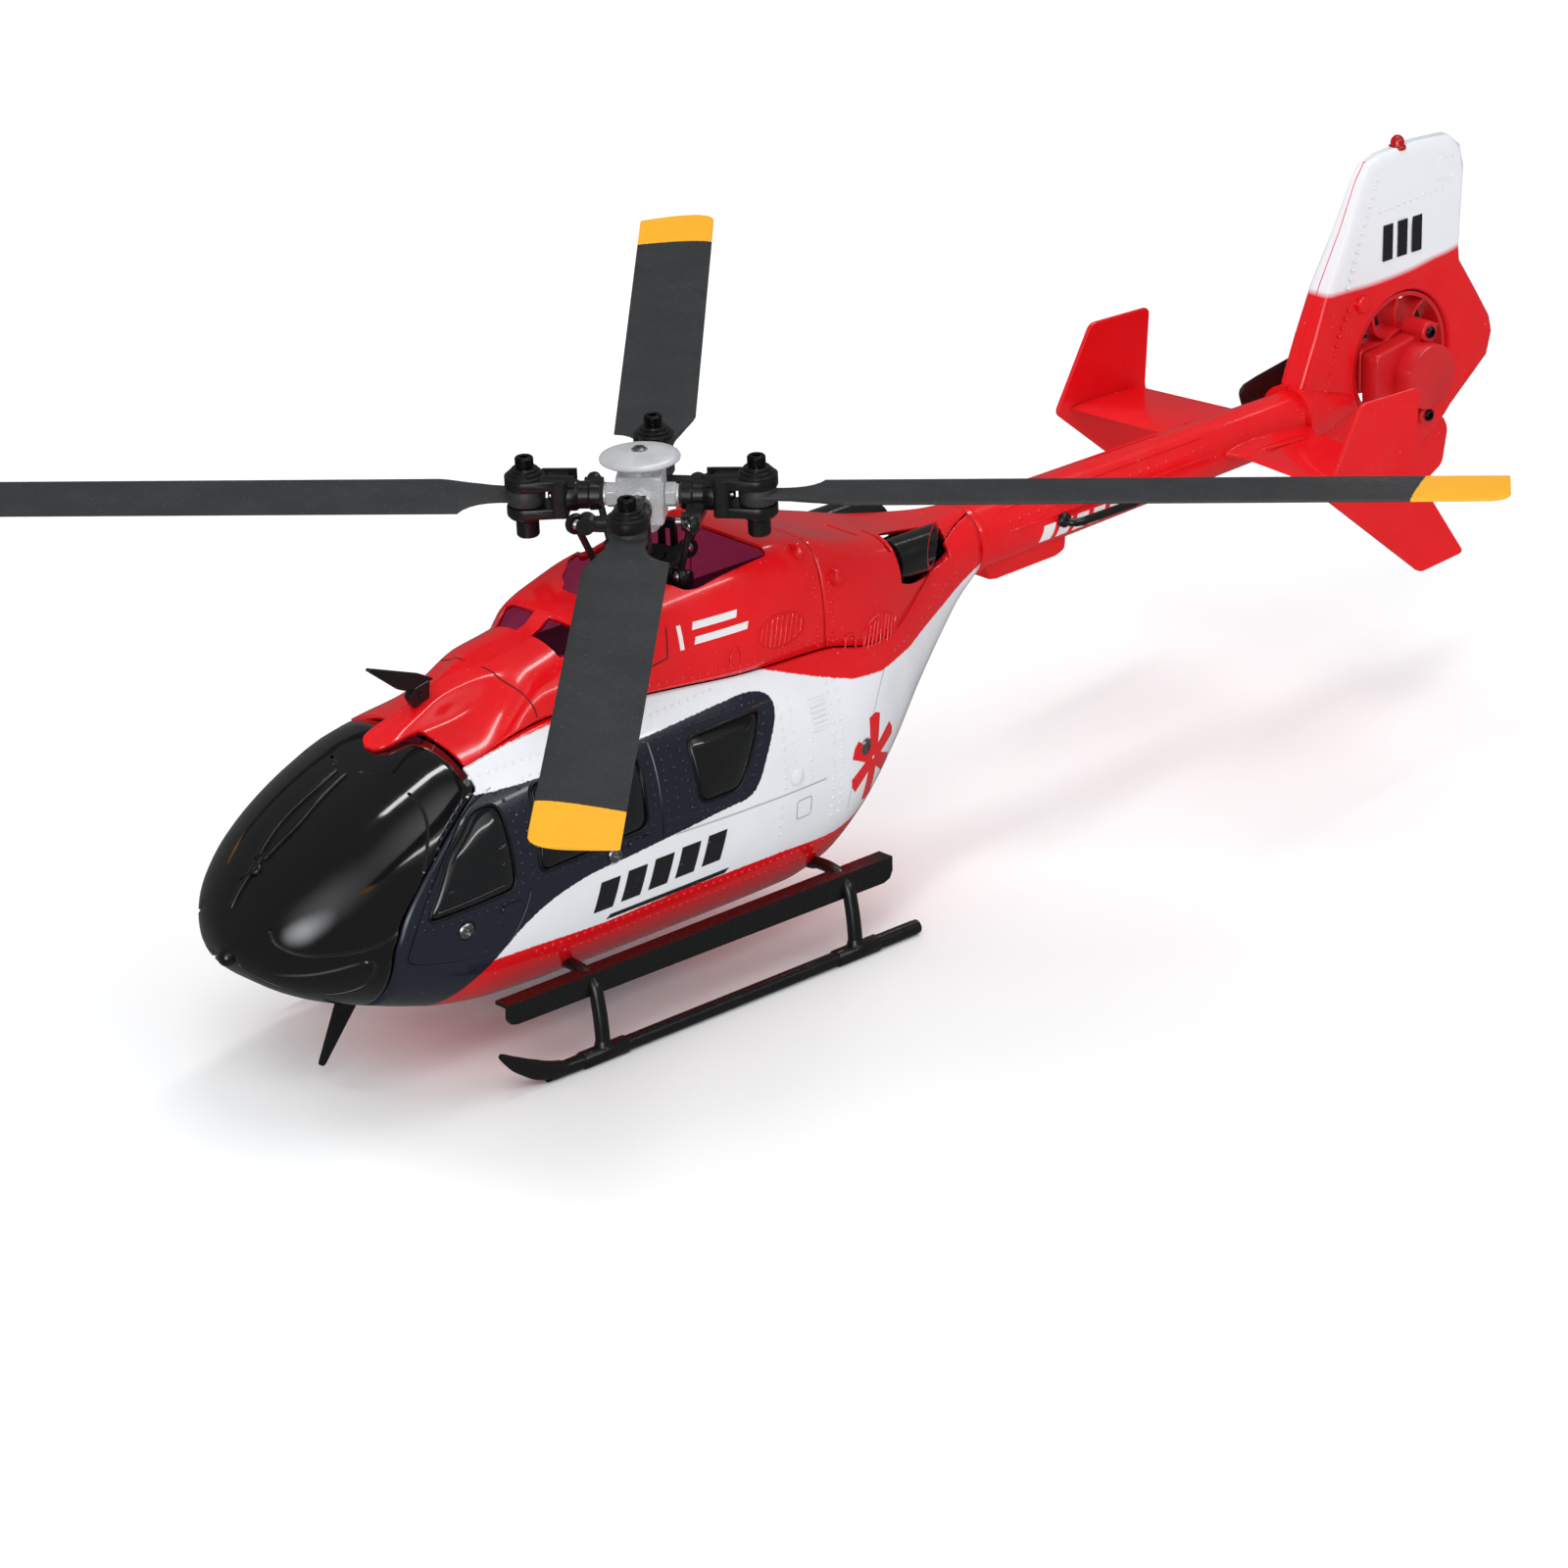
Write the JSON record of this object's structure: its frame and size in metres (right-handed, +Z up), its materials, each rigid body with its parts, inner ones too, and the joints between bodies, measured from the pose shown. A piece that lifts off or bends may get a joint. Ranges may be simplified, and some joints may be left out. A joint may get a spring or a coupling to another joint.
{
  "type": "remote control helicopter",
  "caption": "Radio-controlled scale helicopter with folding main blades, swashplate control, shrouded-fin tail rotor, skids and a battery that drops out of the belly.",
  "frame": {"origin": "point on the flat belly that the axis of the main shaft passes through", "axes": "nose along -Y, port side along +X, +Z up with the skids on a level floor 12.2 mm below the origin"},
  "size_m": [0.271, 0.3967, 0.1271],
  "materials": {
    "gloss_red": "glossy red moulding",
    "gloss_white": "glossy white moulding with red and navy bands",
    "gloss_black": "polished black moulding",
    "matt_black": "satin black moulding",
    "black_nylon": "black nylon with a fine mould grain",
    "aluminium": "turned and milled",
    "steel": "ground",
    "black_steel": "black oxide",
    "natural_nylon": "undyed nylon",
    "brass": "cut",
    "blue_wrap": "heat-shrunk film",
    "green_board": "solder mask",
    "red_lens": "clear red lens"
  },
  "bodies": {
    "airframe": {"beacon": "red_lens", "body_shell": "gloss_white", "boom_handle": "gloss_black", "control_board": "green_board", "cross_tube_front": "matt_black", "cross_tube_rear": "matt_black", "endplate_port": "gloss_red", "endplate_starboard": "gloss_red", "engine_cowl": "gloss_red", "exhaust": "matt_black", "fin_port": "gloss_red", "fin_starboard": "gloss_red", "gearbox_cap": "gloss_red", "lower_wire_cutter": "black_nylon", "main_frame": "black_nylon", "main_motor": "black_steel", "nose_canopy": "gloss_black", "rear_cowl": "gloss_red", "servo_front": "black_nylon", "servo_port": "black_nylon", "servo_starboard": "black_nylon", "skid_port": "matt_black", "skid_starboard": "matt_black", "stabiliser": "gloss_red", "step_board_port": "matt_black", "step_board_starboard": "matt_black", "tail_boom": "gloss_red", "tail_bumper": "gloss_red", "tail_gearbox": "gloss_red", "tail_motor": "steel", "upper_wire_cutter": "black_nylon", "window_insert_port": "gloss_black", "window_insert_starboard": "gloss_black"},
    "rotor": {"main_shaft": "steel", "main_gear": "natural_nylon", "hub": "aluminium", "head_disc": "aluminium"},
    "pinion": {"motor_pinion": "brass"},
    "fixed_swash": {"swash_inner": "black_nylon"},
    "turning_swash": {"swash_outer": "black_nylon"},
    "servo_arm_front": {"servo_arm_front": "natural_nylon"},
    "servo_arm_port": {"servo_arm_port": "natural_nylon"},
    "servo_arm_starboard": {"servo_arm_starboard": "natural_nylon"},
    "tail_rotor": {"tail_gear": "natural_nylon", "tail_shaft": "steel", "tail_rotor": "black_nylon"},
    "tail_pinion": {"tail_pinion": "brass"},
    "battery": {"battery_pack": "blue_wrap"},
    "grip_1": {"blade_grip_1": "black_nylon", "blade_bolt_1": "black_steel"},
    "blade_1": {"main_blade_1": "matt_black"},
    "grip_2": {"blade_grip_2": "black_nylon", "blade_bolt_2": "black_steel"},
    "blade_2": {"main_blade_2": "matt_black"},
    "grip_3": {"blade_grip_3": "black_nylon", "blade_bolt_3": "black_steel"},
    "blade_3": {"main_blade_3": "matt_black"},
    "grip_4": {"blade_grip_4": "black_nylon", "blade_bolt_4": "black_steel"},
    "blade_4": {"main_blade_4": "matt_black"}
  },
  "joints": [
    {"name": "rotor_spin", "type": "hinge", "parent": "airframe", "child": "rotor", "pos_m": [0, 0, 0], "axis": [0, -0.0304, 0.9995], "continuous": true},
    {"name": "pinion_spin", "type": "hinge", "parent": "airframe", "child": "pinion", "pos_m": [0, 0.02239, 0.02869], "axis": [0, -0.0304, 0.9995], "continuous": true},
    {"name": "collective", "type": "slide", "parent": "airframe", "child": "fixed_swash", "axis": [0, -0.0304, 0.9995], "range_m": [-0.002, 0.002]},
    {"name": "swash_spin", "type": "hinge", "parent": "fixed_swash", "child": "turning_swash", "pos_m": [0, 0, 0], "axis": [0, -0.0304, 0.9995], "continuous": true},
    {"name": "pitch_1", "type": "hinge", "parent": "rotor", "child": "grip_1", "pos_m": [0, -0.00272, 0.08966], "axis": [0.7493, 0.6619, 0.0201], "range_deg": [-12.5, 12.5]},
    {"name": "pitch_2", "type": "hinge", "parent": "rotor", "child": "grip_2", "pos_m": [0, -0.00272, 0.08966], "axis": [-0.6622, 0.749, 0.0228], "range_deg": [-12.5, 12.5]},
    {"name": "pitch_3", "type": "hinge", "parent": "rotor", "child": "grip_3", "pos_m": [0, -0.00272, 0.08966], "axis": [-0.7493, -0.6619, -0.0201], "range_deg": [-12.5, 12.5]},
    {"name": "pitch_4", "type": "hinge", "parent": "rotor", "child": "grip_4", "pos_m": [0, -0.00272, 0.08966], "axis": [0.6622, -0.749, -0.0228], "range_deg": [-12.5, 12.5]},
    {"name": "fold_1", "type": "hinge", "parent": "grip_1", "child": "blade_1", "pos_m": [0.01788, 0.01307, 0.09014], "axis": [0, -0.0304, 0.9995], "range_deg": [-40, 40]},
    {"name": "fold_2", "type": "hinge", "parent": "grip_2", "child": "blade_2", "pos_m": [-0.0158, 0.01515, 0.0902], "axis": [0, -0.0304, 0.9995], "range_deg": [-40, 40]},
    {"name": "fold_3", "type": "hinge", "parent": "grip_3", "child": "blade_3", "pos_m": [-0.01788, -0.01852, 0.08918], "axis": [0, -0.0304, 0.9995], "range_deg": [-40, 40]},
    {"name": "fold_4", "type": "hinge", "parent": "grip_4", "child": "blade_4", "pos_m": [0.0158, -0.02059, 0.08912], "axis": [0, -0.0304, 0.9995], "range_deg": [-40, 40]},
    {"name": "servo_front_turn", "type": "hinge", "parent": "airframe", "child": "servo_arm_front", "pos_m": [0, -0.01739, 0.04549], "axis": [1, 0, 0], "range_deg": [-16, 16]},
    {"name": "servo_port_turn", "type": "hinge", "parent": "airframe", "child": "servo_arm_port", "pos_m": [0.01386, 0.0066, 0.04622], "axis": [-0.5, 0.8656, 0.0263], "range_deg": [-16, 16]},
    {"name": "servo_starboard_turn", "type": "hinge", "parent": "airframe", "child": "servo_arm_starboard", "pos_m": [-0.01386, 0.0066, 0.04622], "axis": [-0.5, -0.8656, -0.0263], "range_deg": [-16, 16]},
    {"name": "tail_rotor_spin", "type": "hinge", "parent": "airframe", "child": "tail_rotor", "pos_m": [0, 0.2263, 0.0634], "axis": [1, 0, 0], "continuous": true},
    {"name": "tail_pinion_spin", "type": "hinge", "parent": "airframe", "child": "tail_pinion", "pos_m": [0, 0.21775, 0.0634], "axis": [1, 0, 0], "continuous": true},
    {"name": "battery_slide", "type": "slide", "parent": "airframe", "child": "battery", "axis": [0, 0, -1], "range_m": [0, 0.03]}
  ],
  "couplings": [
    {"joint": "pinion_spin", "follows": "rotor_spin", "ratio": -4.8},
    {"joint": "swash_spin", "follows": "rotor_spin", "ratio": 1},
    {"joint": "pitch_1", "follows": "collective", "rad_per_m": -105},
    {"joint": "pitch_2", "follows": "collective", "rad_per_m": -105},
    {"joint": "pitch_3", "follows": "collective", "rad_per_m": -105},
    {"joint": "pitch_4", "follows": "collective", "rad_per_m": -105},
    {"joint": "servo_front_turn", "follows": "collective", "rad_per_m": 133.33},
    {"joint": "servo_port_turn", "follows": "collective", "rad_per_m": 133.33},
    {"joint": "servo_starboard_turn", "follows": "collective", "rad_per_m": 133.33},
    {"joint": "tail_pinion_spin", "follows": "tail_rotor_spin", "ratio": -2.4}
  ]
}
